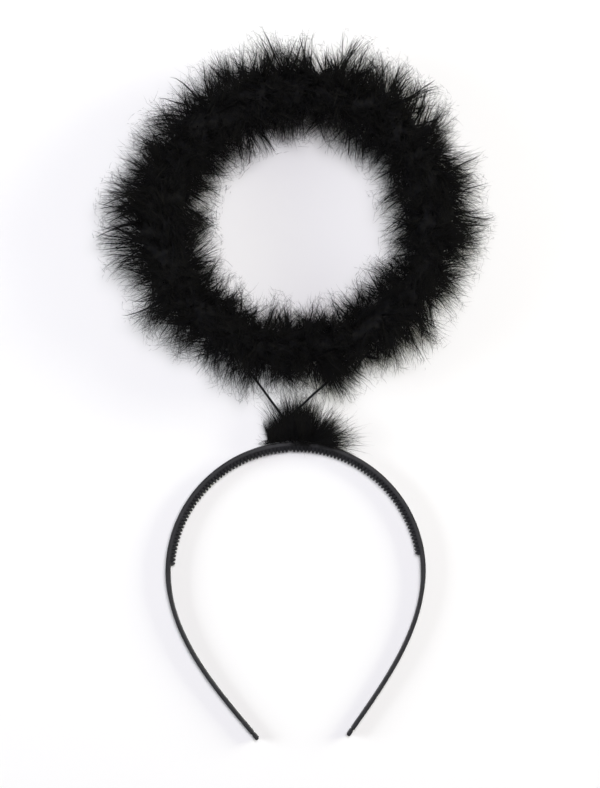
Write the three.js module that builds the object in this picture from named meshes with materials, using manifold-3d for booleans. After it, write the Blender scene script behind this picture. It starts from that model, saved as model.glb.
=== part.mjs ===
// Angel headpiece: a fluffy marabou halo on a bent wire, fixed to the crown of a toothed plastic headband.
// It lies as it does on a table: the band stands on its lower edge and the halo rests on its own fluff.
// Units are millimetres. +Z is up, and +Y runs from the headband to the halo.
// The origin is at the crown of the band, in the middle of its wall, on the lower edge.

import * as THREE from "three";
import { mergeVertices } from "three/addons/utils/BufferGeometryUtils.js";
import Module from "manifold-3d";

const wasm = await Module();
wasm.setup();

// Driving dimensions

const GAP = 0.3; // air between neighbouring pieces

const BAND = {
  outerRadius: 65.2, // outside of the half circle that goes over the head
  wall: 2.3, // thickness of the plastic round the half circle
  armWall: 1.85, // thickness of the arms
  thinning: 15, // length of arm over which the one becomes the other
  crownWidth: 8, // across the band at the crown
  tipWidth: 5.5, // across the band at its tips
  armLength: 94.1, // along each arm, from the half circle to its tip
  armTurn: 37.6, // degrees that each arm turns in
  armEase: 2.33, // how soon an arm straightens: a power of the share of it that is left
  armSteps: 12, // straight facets along an arm
  tipRound: 0.7, // rounding of a tip's corners, seen from above
  edgeRound: 0.45, // rounding of the moulded edges
  facet: 4.5, // degrees of the large arcs that one facet covers
  tipFacet: 45, // the same on the corners of a tip
};

// The waist moulded round each arm just above its tip
const WAIST = { fromTip: 3, length: 1.2, depth: 0.3 };

// The comb inside the band: a low web that carries a row of teeth
const COMB = {
  teethPerSide: 47, // teeth on each side of the middle one
  pitch: 1.783, // degrees from tooth to tooth
  web: 1.75, // height of the web above the inside of the band
  tooth: 1.2, // height of a tooth above the web
  middleTooth: 0.7, // height of the middle tooth, where the mould was filled
  endFall: 0.27, // share of both heights that is lost at the ends of the comb
  crest: 0.26, // width of a tooth's crest, as a share of the pitch
  foot: 0.92, // width of a tooth's foot, as a share of the pitch
  rootWidth: 6.2, // across the web at the band
  crestWidth: 3.4, // across a tooth's crest
  sunk: 0.9, // depth of the web's root inside the band
};

// The wire ring inside the halo
const HALO = { x: 8.1, y: 110.9, radiusX: 66.8, radiusY: 63.8, height: 20 };

const WIRE = {
  radius: 0.6,
  sides: 8,
  step: 3.3, // length of one straight facet of the tube
  leftJoin: 232, // degrees round the halo where the left leg runs into the ring
  rightJoin: -52, // the same for the right leg
  ringPoints: 24, // points that carry the curve round the ring
  foot: 9, // degrees round the crown that each glued foot covers
  footBend: 3, // radius of the bend from a foot to the stem
  strandGap: 0.7, // air between the two strands that stand side by side as the stem
  stemX: -1.2, // how far the stem has leaned at its top
  stemTop: 11.6,
};

// Points on each leg above the stem. rise is the share of the climb from the band to the ring.
const LEFT_LEG = [
  { x: -10.6, y: 25.2, rise: 0.45 },
  { x: -19.2, y: 38.3, rise: 0.8 },
];
const RIGHT_LEG = [
  { x: 9.6, y: 21.8, rise: 0.35 },
  { x: 22.7, y: 32.4, rise: 0.68 },
  { x: 33.6, y: 41.2, rise: 0.9 },
];

// Reach of the halo's fluff from the wire, by degrees round the ring
const HALO_FLUFF = [
  { at: 0, inward: 23, outward: 24 },
  { at: 15, inward: 21.5, outward: 22 },
  { at: 30, inward: 21, outward: 21 },
  { at: 45, inward: 21, outward: 25 },
  { at: 60, inward: 22.5, outward: 21.5 },
  { at: 75, inward: 20.5, outward: 21.5 },
  { at: 90, inward: 24.5, outward: 21 },
  { at: 105, inward: 27, outward: 21.5 },
  { at: 120, inward: 27, outward: 20 },
  { at: 135, inward: 25, outward: 20.5 },
  { at: 150, inward: 24.5, outward: 20.5 },
  { at: 165, inward: 24, outward: 24 },
  { at: 180, inward: 25.5, outward: 26 },
  { at: 195, inward: 21, outward: 24.5 },
  { at: 210, inward: 21.5, outward: 23 },
  { at: 225, inward: 19, outward: 21 },
  { at: 240, inward: 17, outward: 20.5 },
  { at: 255, inward: 19.5, outward: 21 },
  { at: 270, inward: 20.5, outward: 20 },
  { at: 285, inward: 16.5, outward: 20 },
  { at: 300, inward: 18.5, outward: 19.5 },
  { at: 315, inward: 20, outward: 23 },
  { at: 330, inward: 17.5, outward: 19 },
  { at: 345, inward: 16.5, outward: 20.5 },
];

// How the halo's locks are set: rows along the ring, places round each section
const LOCKS = {
  rows: 72,
  places: 16,
  hollow: 0.66, // depth between locks, as a share of their reach
  vary: 0.25, // share by which a lock may fall short
  lean: 3, // how far a tip leans along the ring
  up: 21, // reach of the locks on top
};

// Longer wisps that stand out of the halo
const WISPS = { count: 54, radius: 2, sides: 5, longer: 1.2, vary: 0.12, flat: 35, turn: 137.5 };

// The marabou tuft glued over the feet of the wire. Reaches are taken from its middle.
const TUFT = {
  x: 5.5,
  y: 8.5,
  z: 11,
  left: 15.5,
  right: 23,
  far: 17, // towards the halo
  near: 12, // towards the band, before the band's own place is cut away
  up: 12,
  floorGap: 1.2, // its lowest locks stay this far above the table
  rows: 12,
  places: 18,
  hollow: 0.68,
  vary: 0.3,
};
const TUFT_WISPS = { count: 18, radius: 1.6, sides: 5, longer: 1.3, vary: 0.15, flat: 30, turn: 137.5 };

// Materials

const plastic = new THREE.MeshStandardMaterial({ color: 0x1d1d20, roughness: 0.5, metalness: 0 });
const enamel = new THREE.MeshStandardMaterial({ color: 0x0d0d0f, roughness: 0.4, metalness: 0.2 });
const marabou = new THREE.MeshStandardMaterial({ color: 0x08080a, roughness: 0.95, metalness: 0 });

// Helpers

const MERGE = 1e-4;
const radians = THREE.MathUtils.degToRad;
const lerp = THREE.MathUtils.lerp;

// A closed geometry as a solid that can be joined and cut
function toSolid(geometry) {
  const bare = geometry.clone();
  bare.deleteAttribute("normal");
  bare.deleteAttribute("uv");
  const merged = mergeVertices(bare, MERGE);
  const vertProperties = new Float32Array(merged.attributes.position.array);
  const triVerts = new Uint32Array(merged.index.array);
  return new wasm.Manifold(new wasm.Mesh({ numProp: 3, vertProperties, triVerts }));
}

// A solid as a geometry again
function toGeometry(solid) {
  const mesh = solid.getMesh();
  const geometry = new THREE.BufferGeometry();
  geometry.setAttribute("position", new THREE.BufferAttribute(mesh.vertProperties, 3));
  geometry.setIndex(new THREE.BufferAttribute(mesh.triVerts, 1));
  geometry.computeVertexNormals();
  return geometry;
}

// What is left of a cut solid once loose crumbs are dropped
function largestBody(solid) {
  return solid.decompose().reduce((best, body) => (body.volume() > best.volume() ? body : best));
}

// Calls change(point) on every vertex and keeps what it makes of the point
function mapVertices(geometry, change) {
  const place = geometry.attributes.position;
  const point = new THREE.Vector3();
  for (let i = 0; i < place.count; i++) {
    change(point.fromBufferAttribute(place, i));
    place.setXYZ(i, point.x, point.y, point.z);
  }
  return geometry;
}

// Points on an arc, from one angle to another in degrees
function arc(x, y, radius, from, to, facet) {
  const steps = Math.max(1, Math.round(Math.abs(to - from) / facet));
  return Array.from({ length: steps + 1 }, (_, i) => {
    const angle = radians(lerp(from, to, i / steps));
    return new THREE.Vector2(x + radius * Math.cos(angle), y + radius * Math.sin(angle));
  });
}

// A repeatable scatter from 0 to 1 for the lock in row i, place j
function scatter(i, j) {
  const value = Math.sin(i * 12.9898 + j * 78.233) * 43758.5453;
  return value - Math.floor(value);
}

// Headband

const bandMiddle = BAND.outerRadius - BAND.wall / 2;
const bandInside = BAND.outerRadius - BAND.wall;

// How far the right arm has turned in, in degrees, at a length from the half circle
function armHeading(length) {
  return BAND.armTurn * (1 - (1 - length / BAND.armLength) ** BAND.armEase);
}

// Half the thickness of an arm at a length from the half circle
function armHalf(length) {
  return lerp(BAND.wall, BAND.armWall, THREE.MathUtils.smoothstep(length, 0, BAND.thinning)) / 2;
}

// Unit vectors out of the right arm and ahead along it, at a heading in degrees
const outOf = (heading) => new THREE.Vector2(Math.cos(radians(heading)), -Math.sin(radians(heading)));
const aheadOf = (heading) => new THREE.Vector2(-Math.sin(radians(heading)), -Math.cos(radians(heading)));

// Points on the middle line of the right arm
function armLine() {
  const step = BAND.armLength / BAND.armSteps;
  const at = new THREE.Vector2(bandMiddle, -bandMiddle);
  return Array.from({ length: BAND.armSteps + 1 }, (_, i) => {
    const point = at.clone();
    at.addScaledVector(aheadOf(armHeading(Math.min(i + 0.5, BAND.armSteps) * step)), step);
    return point;
  });
}

const armPoints = armLine();
const armEnd = armPoints[BAND.armSteps];

// One side of the right half of the outline, from the crown to the tip: side is 1 outside and -1 inside
function halfOutline(side) {
  const crown = arc(0, -bandMiddle, bandMiddle + (side * BAND.wall) / 2, 90, 0, BAND.facet);
  const arm = armPoints.slice(1).map((point, i) => {
    const length = ((i + 1) * BAND.armLength) / BAND.armSteps;
    return point.clone().addScaledVector(outOf(armHeading(length)), side * armHalf(length));
  });
  return [...crown, ...arm];
}

// The blunt end of the right tip with its rounded corners, from the outer side to the inner side
function tipEnd() {
  const inset = BAND.armWall / 2 - BAND.tipRound;
  const out = outOf(BAND.armTurn);
  return [1, -1].flatMap((side) => {
    const corner = armEnd.clone().addScaledVector(out, side * inset);
    const from = -BAND.armTurn - (side > 0 ? 0 : 90);
    const round = arc(corner.x, corner.y, BAND.tipRound, from, from - 90, BAND.tipFacet);
    return side > 0 ? round.slice(1) : round.slice(0, -1);
  });
}

function bandOutline() {
  const outer = halfOutline(1);
  const inner = halfOutline(-1);
  const right = [...outer, ...tipEnd(), ...inner.reverse()];
  const left = right.slice(1, -1).map((p) => new THREE.Vector2(-p.x, p.y));
  return new THREE.Shape([...right, ...left.reverse()]);
}

function bandWall() {
  const geometry = new THREE.ExtrudeGeometry(bandOutline(), {
    depth: BAND.crownWidth - 2 * BAND.edgeRound,
    bevelThickness: BAND.edgeRound,
    bevelSize: BAND.edgeRound,
    bevelOffset: -BAND.edgeRound,
    bevelSegments: 2,
  });
  return geometry.translate(0, 0, BAND.edgeRound);
}

// The comb seen from above: the web's root inside the band, then tooth after tooth back along it
function combOutline() {
  const reach = (COMB.teethPerSide + 0.5) * COMB.pitch;
  const points = arc(0, -bandMiddle, bandInside + COMB.sunk, 90 - reach, 90 + reach, BAND.facet);
  const add = (degrees, radius) => points.push(...arc(0, -bandMiddle, radius, degrees, degrees, 1).slice(1));
  for (let k = COMB.teethPerSide; k >= -COMB.teethPerSide; k--) {
    const middle = 90 + k * COMB.pitch;
    const height = 1 - COMB.endFall * (k / COMB.teethPerSide) ** 4;
    const webRadius = bandInside - height * COMB.web;
    const crestRadius = webRadius - height * (k === 0 ? COMB.middleTooth : COMB.tooth);
    add(middle + (COMB.foot * COMB.pitch) / 2, webRadius);
    add(middle + (COMB.crest * COMB.pitch) / 2, crestRadius);
    add(middle - (COMB.crest * COMB.pitch) / 2, crestRadius);
    add(middle - (COMB.foot * COMB.pitch) / 2, webRadius);
  }
  return new THREE.Shape(points);
}

// The comb narrows across its width from the root to the crests
function comb() {
  const geometry = new THREE.ExtrudeGeometry(combOutline(), { depth: 1, bevelEnabled: false });
  return mapVertices(geometry, (point) => {
    const depth = bandInside - Math.hypot(point.x, point.y + bandMiddle);
    const share = THREE.MathUtils.clamp(depth / (COMB.web + COMB.tooth), 0, 1);
    const width = lerp(COMB.rootWidth, COMB.crestWidth, share);
    point.z = BAND.crownWidth / 2 + (point.z - 0.5) * width;
  });
}

// A frame that cuts the waist round one arm: side is 1 on the right and -1 on the left
function waistCutter(side) {
  const spare = 2;
  const block = new THREE.BoxGeometry(BAND.armWall + spare, WAIST.length, BAND.crownWidth + spare);
  const core = new THREE.BoxGeometry(
    BAND.armWall - 2 * WAIST.depth,
    WAIST.length + spare,
    BAND.crownWidth - 2 * WAIST.depth,
  );
  const at = armEnd.clone().addScaledVector(aheadOf(BAND.armTurn), -WAIST.fromTip);
  const place = new THREE.Matrix4()
    .makeRotationZ(-side * radians(BAND.armTurn))
    .setPosition(side * at.x, at.y, BAND.crownWidth / 2);
  return toSolid(block.applyMatrix4(place)).subtract(toSolid(core.applyMatrix4(place)));
}

// The band narrows towards its tips. Its lower edge stays flat, so the upper edge comes down.
function narrowToTips(point) {
  const share = THREE.MathUtils.clamp(point.y / armEnd.y, 0, 1);
  point.z *= lerp(1, BAND.tipWidth / BAND.crownWidth, share);
}

function headband() {
  const straight = toSolid(bandWall())
    .add(toSolid(comb()))
    .subtract(waistCutter(1))
    .subtract(waistCutter(-1));
  return mapVertices(toGeometry(straight), narrowToTips);
}

// Halo wire

function ringPoint(degrees) {
  const angle = radians(degrees);
  return new THREE.Vector3(
    HALO.x + HALO.radiusX * Math.cos(angle),
    HALO.y + HALO.radiusY * Math.sin(angle),
    HALO.height,
  );
}

// Foot, bend and strand of one side, from the end of the foot up to the top of the stem
function footAndStem(side, footDegrees) {
  const height = BAND.crownWidth / 2;
  const faceRadius = BAND.outerRadius + GAP + WIRE.radius;
  const strandX = side * (WIRE.radius + WIRE.strandGap / 2);
  const floorY = faceRadius - bandMiddle;
  const foot = [footDegrees, footDegrees / 2].map((degrees) => {
    const on = arc(0, -bandMiddle, faceRadius, 90 - side * degrees, 90, 360)[0];
    return new THREE.Vector3(on.x, on.y, height);
  });
  const bend = WIRE.footBend * (1 - Math.SQRT1_2);
  const strand = [0, 0.5, 1].map((share) => {
    const y = lerp(floorY + WIRE.footBend, WIRE.stemTop, share);
    return new THREE.Vector3(strandX + WIRE.stemX * share, y, height);
  });
  return [...foot, new THREE.Vector3(strandX + side * bend, floorY + bend, height), ...strand];
}

function legPoints(rows) {
  return rows.map(({ x, y, rise }) => new THREE.Vector3(x, y, lerp(BAND.crownWidth / 2, HALO.height, rise)));
}

// One length of wire: left foot, left leg, round the halo, right leg, right foot
function wirePath(footDegrees) {
  const ring = Array.from({ length: WIRE.ringPoints + 1 }, (_, i) =>
    ringPoint(lerp(WIRE.leftJoin, WIRE.rightJoin, i / WIRE.ringPoints)),
  );
  return new THREE.CatmullRomCurve3([
    ...footAndStem(-1, footDegrees),
    ...legPoints(LEFT_LEG),
    ...ring,
    ...legPoints(RIGHT_LEG).reverse(),
    ...footAndStem(1, footDegrees).reverse(),
  ]);
}

function tubeAlong(path, radius, sides, step) {
  const section = new THREE.Shape(arc(0, 0, radius, 0, 360, 360 / sides).slice(0, -1));
  return new THREE.ExtrudeGeometry(section, {
    steps: Math.round(path.getLength() / step),
    extrudePath: path,
    bevelEnabled: false,
  });
}

function haloWire() {
  return tubeAlong(wirePath(WIRE.foot), WIRE.radius, WIRE.sides, WIRE.step);
}

// The channel that the feathers leave for the wire, a little longer than the wire at both feet
function wireChannel() {
  const coarse = { sides: 6, step: 1.6 * WIRE.step, radius: 2 * (WIRE.radius + GAP / 2), footExtra: 1 };
  return toSolid(tubeAlong(wirePath(WIRE.foot + coarse.footExtra), coarse.radius, coarse.sides, coarse.step));
}

// Feathers

// Triangles of a grid whose even places are tips and whose odd places are the hollows between them.
// Each square is split from hollow to hollow, so that every tip is one four-sided lock.
function lockFaces(rows, places, wrap) {
  const faces = [];
  const at = (i, j) => (i % rows) * places + (j % places);
  for (let i = 0; i < (wrap ? rows : rows - 1); i++) {
    for (let j = 0; j < places; j++) {
      const [a, b, c, d] = [at(i, j), at(i + 1, j), at(i + 1, j + 1), at(i, j + 1)];
      faces.push(...((i + j) % 2 === 0 ? [a, b, d, b, c, d] : [a, b, c, a, c, d]));
    }
  }
  return faces;
}

function gridGeometry(points, faces) {
  return new THREE.BufferGeometry().setFromPoints(points).setIndex(faces);
}

// The inward and outward reach at an angle round the ring, between two rows of the table
function reachAt(degrees) {
  const turn = THREE.MathUtils.euclideanModulo(degrees, 360);
  const spacing = 360 / HALO_FLUFF.length;
  const before = HALO_FLUFF[Math.floor(turn / spacing)];
  const after = HALO_FLUFF[(Math.floor(turn / spacing) + 1) % HALO_FLUFF.length];
  const share = (turn - before.at) / spacing;
  return {
    inward: lerp(before.inward, after.inward, share),
    outward: lerp(before.outward, after.outward, share),
  };
}

// Directions at a place on the ring: out from its middle, up, and along it
function ringFrame(degrees) {
  const angle = radians(degrees);
  const out = new THREE.Vector3(Math.cos(angle), Math.sin(angle), 0);
  return { centre: ringPoint(degrees), out, along: new THREE.Vector3(-out.y, out.x, 0) };
}

// How far the fluff reaches from the wire, by degrees round the ring and round the section (0 is outwards)
function haloReach(ringDegrees, sectionDegrees) {
  const { inward, outward } = reachAt(ringDegrees);
  const across = Math.cos(radians(sectionDegrees));
  const up = Math.sin(radians(sectionDegrees));
  const flat = across > 0 ? outward : inward;
  const upright = up > 0 ? LOCKS.up : HALO.height;
  const reach = flat * across ** 2 + upright * up ** 2;
  return up < 0 ? Math.min(reach, HALO.height / -up) : reach;
}

// A point at a distance from the wire, leaned along the ring
function haloPoint(ringDegrees, sectionDegrees, distance, lean) {
  const { centre, out, along } = ringFrame(ringDegrees);
  const section = radians(sectionDegrees);
  centre.addScaledVector(out, distance * Math.cos(section)).addScaledVector(along, lean);
  centre.z += distance * Math.sin(section);
  return centre;
}

// The boa itself: a closed ring of locks round the wire
function haloLocks() {
  const points = [];
  for (let i = 0; i < LOCKS.rows; i++) {
    for (let j = 0; j < LOCKS.places; j++) {
      const ringDegrees = (360 * i) / LOCKS.rows;
      const sectionDegrees = (360 * j) / LOCKS.places;
      const tip = (i + j) % 2 === 0;
      const lowest = sectionDegrees === 270;
      const short = lowest ? 0 : LOCKS.vary * scatter(i, j);
      const share = tip ? 1 - short : LOCKS.hollow;
      const lean = tip && !lowest ? LOCKS.lean * (2 * scatter(j, i) - 1) : 0;
      points.push(haloPoint(ringDegrees, sectionDegrees, share * haloReach(ringDegrees, sectionDegrees), lean));
    }
  }
  return toSolid(gridGeometry(points, lockFaces(LOCKS.rows, LOCKS.places, true)));
}

// One wisp: a slim cone from a root to a tip
function wisp(root, tip, radius, sides) {
  const way = tip.clone().sub(root);
  const cone = new THREE.ConeGeometry(radius, way.length(), sides);
  cone.translate(0, way.length() / 2, 0);
  cone.applyQuaternion(new THREE.Quaternion().setFromUnitVectors(new THREE.Vector3(0, 1, 0), way.normalize()));
  return toSolid(cone.translate(root.x, root.y, root.z));
}

// Wisps are spread by a constant turn and stay near the plane of the ring, in turn outside and inside
function haloWisps() {
  return Array.from({ length: WISPS.count }, (_, k) => {
    const ringDegrees = (k * WISPS.turn) % 360;
    const sectionDegrees = (k % 2) * 180 + WISPS.flat * (2 * scatter(k, 1) - 1);
    const reach = haloReach(ringDegrees, sectionDegrees) * (WISPS.longer - WISPS.vary * scatter(k, 2));
    const lean = LOCKS.lean * (2 * scatter(k, 3) - 1);
    const root = haloPoint(ringDegrees, sectionDegrees, reach * LOCKS.hollow * 0.5, 0);
    return wisp(root, haloPoint(ringDegrees, sectionDegrees, reach, lean), WISPS.radius, WISPS.sides);
  });
}

function haloMarabou(channel) {
  const shaggy = haloWisps().reduce((whole, one) => whole.add(one), haloLocks());
  return toGeometry(largestBody(shaggy.subtract(channel)));
}

// Direction from the middle of the tuft: turn round the upright axis, tilt above the table
function tuftWay(turn, tilt) {
  return new THREE.Vector3(
    Math.cos(radians(turn)) * Math.cos(radians(tilt)),
    Math.sin(radians(turn)) * Math.cos(radians(tilt)),
    Math.sin(radians(tilt)),
  );
}

// Reach of the tuft in a direction, as on an egg with a different half length to each side
function tuftReach(way) {
  const sideways = way.x / (way.x > 0 ? TUFT.right : TUFT.left);
  const ahead = way.y / (way.y > 0 ? TUFT.far : TUFT.near);
  const upright = way.z / (way.z > 0 ? TUFT.up : TUFT.z - TUFT.floorGap);
  return 1 / Math.hypot(sideways, ahead, upright);
}

function tuftPoint(way, share) {
  return new THREE.Vector3(TUFT.x, TUFT.y, TUFT.z).addScaledVector(way, share * tuftReach(way));
}

// The tuft's locks: rows of tips between a top and a bottom point
function tuftLocks() {
  const points = [];
  for (let i = 0; i < TUFT.rows; i++) {
    for (let j = 0; j < TUFT.places; j++) {
      const tip = (i + j) % 2 === 0;
      const way = tuftWay((360 * j) / TUFT.places, lerp(-90, 90, (i + 0.5) / TUFT.rows));
      points.push(tuftPoint(way, tip ? 1 - TUFT.vary * scatter(i, j) : TUFT.hollow));
    }
  }
  const bottom = points.push(tuftPoint(tuftWay(0, -90), TUFT.hollow)) - 1;
  const top = points.push(tuftPoint(tuftWay(0, 90), TUFT.hollow)) - 1;
  const faces = lockFaces(TUFT.rows, TUFT.places, false).reverse();
  const lastRow = (TUFT.rows - 1) * TUFT.places;
  for (let j = 0; j < TUFT.places; j++) {
    const next = (j + 1) % TUFT.places;
    faces.push(bottom, next, j, top, lastRow + j, lastRow + next);
  }
  return toSolid(gridGeometry(points, faces));
}

// Wisps fan out over the half of the tuft that faces away from the band
function tuftWisps() {
  return Array.from({ length: TUFT_WISPS.count }, (_, k) => {
    const way = tuftWay((k * TUFT_WISPS.turn) % 180, TUFT_WISPS.flat * (2 * scatter(k, 4) - 1));
    const share = TUFT_WISPS.longer - TUFT_WISPS.vary * scatter(k, 5);
    return wisp(tuftPoint(way, TUFT.hollow * 0.5), tuftPoint(way, share), TUFT_WISPS.radius, TUFT_WISPS.sides);
  });
}

// The drum that the tuft's underside is cut to: the outside of the band with a gap
function crownDrum() {
  const tall = 4 * TUFT.z;
  const drum = new THREE.CylinderGeometry(
    BAND.outerRadius + GAP,
    BAND.outerRadius + GAP,
    tall,
    360 / BAND.facet,
  );
  return toSolid(drum.rotateX(Math.PI / 2).translate(0, -bandMiddle, 0));
}

function baseTuft(channel, halo) {
  const shaggy = tuftWisps().reduce((whole, one) => whole.add(one), tuftLocks());
  return toGeometry(largestBody(shaggy.subtract(crownDrum()).subtract(channel).subtract(halo)));
}

// Assembly

function piece(name, geometry, material) {
  const mesh = new THREE.Mesh(geometry, material);
  mesh.name = name;
  return mesh;
}

const channel = wireChannel();
const haloFeathers = haloMarabou(channel);

const headpiece = new THREE.Group();
headpiece.name = "angel_headpiece";
headpiece.add(
  piece("headband", headband(), plastic),
  piece("halo_wire", haloWire(), enamel),
  piece("halo_marabou", haloFeathers, marabou),
  piece("base_tuft", baseTuft(channel, toSolid(haloFeathers)), marabou),
);

export default headpiece;
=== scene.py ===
# %% [markdown]
# # A black angel headpiece
# A fluffy halo of marabou down sits on a ring of bent wire. The wire's feet are glued to the crown of a
# toothed plastic headband, under a small tuft of the same down. The whole thing lies on a table.
# The construction is already there as a fixed frame of four solids. This lesson dresses them: each piece is
# a surface worked out with numpy, in metres, in the same place as the solid that it stands for.

import bpy
import numpy as np
from mathutils import Matrix


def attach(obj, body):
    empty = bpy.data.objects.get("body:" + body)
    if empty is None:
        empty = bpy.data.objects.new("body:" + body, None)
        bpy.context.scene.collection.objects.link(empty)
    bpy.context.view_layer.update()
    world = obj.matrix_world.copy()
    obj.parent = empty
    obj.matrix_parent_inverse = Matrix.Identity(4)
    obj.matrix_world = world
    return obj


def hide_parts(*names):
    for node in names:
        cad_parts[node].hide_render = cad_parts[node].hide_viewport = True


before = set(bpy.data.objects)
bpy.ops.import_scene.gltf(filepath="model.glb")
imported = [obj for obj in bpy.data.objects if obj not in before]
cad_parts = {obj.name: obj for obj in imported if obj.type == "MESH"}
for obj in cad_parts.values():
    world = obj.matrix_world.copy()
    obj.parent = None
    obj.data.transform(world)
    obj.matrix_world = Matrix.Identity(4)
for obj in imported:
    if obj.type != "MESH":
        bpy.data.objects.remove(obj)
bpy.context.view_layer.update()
print("solids:", sorted(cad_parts))

# %% [markdown]
# ## From arrays to a mesh
# Blender can take a whole array of points and faces at once, which is far quicker than adding them one by
# one. Every piece below ends here: it gets its mesh, its finish and the body that it rides on, and the solid
# that it stands for is hidden. The place of a piece is in its points, so its object stays at the origin.

# %% A mesh from arrays
UV_NAME = "OFBake"


def fill_mesh(mesh, points, faces):
    """Puts points (n, 3) and faces (m, 3 or 4) into a mesh."""
    corners = faces.shape[1]
    mesh.vertices.add(len(points))
    mesh.vertices.foreach_set("co", points.astype(np.float32).ravel())
    mesh.loops.add(faces.size)
    mesh.loops.foreach_set("vertex_index", faces.astype(np.int32).ravel())
    mesh.polygons.add(len(faces))
    mesh.polygons.foreach_set("loop_start", np.arange(0, faces.size, corners, dtype=np.int32))
    mesh.update(calc_edges=True)


def add_piece(name, points, faces, material, node, uv=None, sharp=None):
    """Makes a piece of the object from arrays.

    uv has one row for each corner of each face. Edges stay sharp where two faces meet at more than sharp,
    in degrees.
    """
    mesh = bpy.data.meshes.new(name)
    fill_mesh(mesh, points, faces)
    if uv is not None:
        layer = mesh.uv_layers.new(name=UV_NAME)
        layer.uv.foreach_set("vector", uv.astype(np.float32).ravel())
    mesh.shade_smooth()
    if sharp is not None:
        mesh.set_sharp_from_angle(angle=np.radians(sharp))
    mesh.materials.append(material)
    piece = bpy.data.objects.new(name, mesh)
    bpy.context.scene.collection.objects.link(piece)
    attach(piece, "root")
    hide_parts(node)
    mesh.calc_loop_triangles()
    print(f"{name}: {len(mesh.loop_triangles)} triangles")
    return piece


# %% [markdown]
# ## The camera
# The picture is taken from straight above. The headband is turned two and a half degrees against the
# picture, so the camera is turned by that instead, and the frame stays as it is. The lens is worked out from
# the height of the table that the picture takes in.

# %% Camera above the table
MM = 0.001
PHOTO_TURN = 2.47
PICTURE_MIDDLE = np.array([6.0, 24.9]) * MM
PICTURE_HEIGHT = 394 * MM
CAMERA_HEIGHT = 1.1
SHARP_LEVEL = 8 * MM


def make_camera():
    """A camera that looks straight down and whose lens just takes in the picture's height."""
    camera = bpy.data.objects.new("camera", bpy.data.cameras.new("camera"))
    bpy.context.scene.collection.objects.link(camera)
    turn = Matrix.Rotation(-np.radians(PHOTO_TURN), 4, "Z")
    camera.matrix_world = Matrix.Translation((*PICTURE_MIDDLE, CAMERA_HEIGHT)) @ turn
    camera.data.lens = camera.data.sensor_width * (CAMERA_HEIGHT - SHARP_LEVEL) / PICTURE_HEIGHT
    bpy.context.scene.camera = camera
    return camera


camera = make_camera()
print("lens in mm:", round(camera.data.lens, 1))

# %% [markdown]
# ## The table and the light
# The table is white and the light is soft. A sun lamp would be simpler, but its shadows are hard. Here one
# large lamp hangs above, so that it lights the table inside the halo too. Two more stand low on both sides
# and give each arm of the band a faint shadow on either side. A dim sky fills the rest. Each lamp has a
# faint tint, and together they are white, so the table is white and its shadows are not quite grey. The
# camera sees a white backdrop in place of the dim sky, and far from the object the table glows as white as
# the backdrop, so that its edge doesn't show. The Standard view keeps white white.

# %% Table, sky and lamps
TABLE_SIZE = 6.0
TABLE_WHITE = 0.9
TABLE_GLOW_FROM, TABLE_GLOW_FULL = 0.35, 0.9
SKY_STRENGTH = 0.06
BACKDROP_STRENGTH = 1.0
LAMPS = [
    {"name": "lamp_above", "place": (0.15, 0.25, 1.5), "watts": 19.0, "size": 0.5, "tint": (1, 0.975, 1.025)},
    {"name": "lamp_right", "place": (1.2, 0.3, 0.46), "watts": 10.0, "size": 0.6, "tint": (0.98, 1, 0.8)},
    {"name": "lamp_left", "place": (-1.2, 0.1, 0.5), "watts": 8.4, "size": 0.6, "tint": (0.94, 0.98, 1)},
]


def table_finish():
    """Matt white, with a glow that grows with the distance from the origin."""
    material = bpy.data.materials.new("table_white")
    material.use_nodes = True
    tree = material.node_tree
    shader = tree.nodes["Principled BSDF"]
    shader.inputs["Base Color"].default_value = (TABLE_WHITE, TABLE_WHITE, TABLE_WHITE, 1)
    shader.inputs["Roughness"].default_value = 0.9
    shader.inputs["Specular IOR Level"].default_value = 0.1
    shader.inputs["Emission Color"].default_value = (1, 1, 1, 1)
    place = tree.nodes.new("ShaderNodeTexCoord")
    distance = tree.nodes.new("ShaderNodeVectorMath")
    distance.operation = "LENGTH"
    glow = tree.nodes.new("ShaderNodeMapRange")
    glow.interpolation_type = "SMOOTHSTEP"
    glow.inputs["From Min"].default_value = TABLE_GLOW_FROM
    glow.inputs["From Max"].default_value = TABLE_GLOW_FULL
    glow.inputs["To Max"].default_value = BACKDROP_STRENGTH
    tree.links.new(place.outputs["Object"], distance.inputs[0])
    tree.links.new(distance.outputs["Value"], glow.inputs["Value"])
    tree.links.new(glow.outputs["Result"], shader.inputs["Emission Strength"])
    return material


def make_table():
    half = TABLE_SIZE / 2
    corners = np.array([[-half, -half, 0], [half, -half, 0], [half, half, 0], [-half, half, 0]])
    mesh = bpy.data.meshes.new("table")
    fill_mesh(mesh, corners, np.array([[0, 1, 2, 3]]))
    mesh.materials.append(table_finish())
    table = bpy.data.objects.new("table", mesh)
    bpy.context.scene.collection.objects.link(table)


def turned_to_origin(place):
    """The turn that makes a lamp at a place shine at the origin: its own Z axis points back at the lamp."""
    back = place / np.linalg.norm(place)
    side = np.cross((0, 0, 1), back)
    side = side / np.linalg.norm(side)
    return Matrix((side, np.cross(back, side), back)).transposed().to_4x4()


def make_sky():
    """A sky that lights the object dimly, and that the camera sees as the backdrop."""
    world = bpy.data.worlds.new("sky")
    world.use_nodes = True
    tree = world.node_tree
    seen = tree.nodes.new("ShaderNodeLightPath")
    strength = tree.nodes.new("ShaderNodeMapRange")
    strength.inputs["To Min"].default_value = SKY_STRENGTH
    strength.inputs["To Max"].default_value = BACKDROP_STRENGTH
    tree.links.new(seen.outputs["Is Camera Ray"], strength.inputs["Value"])
    tree.nodes["Background"].inputs["Color"].default_value = (1, 1, 1, 1)
    tree.links.new(strength.outputs["Result"], tree.nodes["Background"].inputs["Strength"])
    bpy.context.scene.world = world


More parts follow.
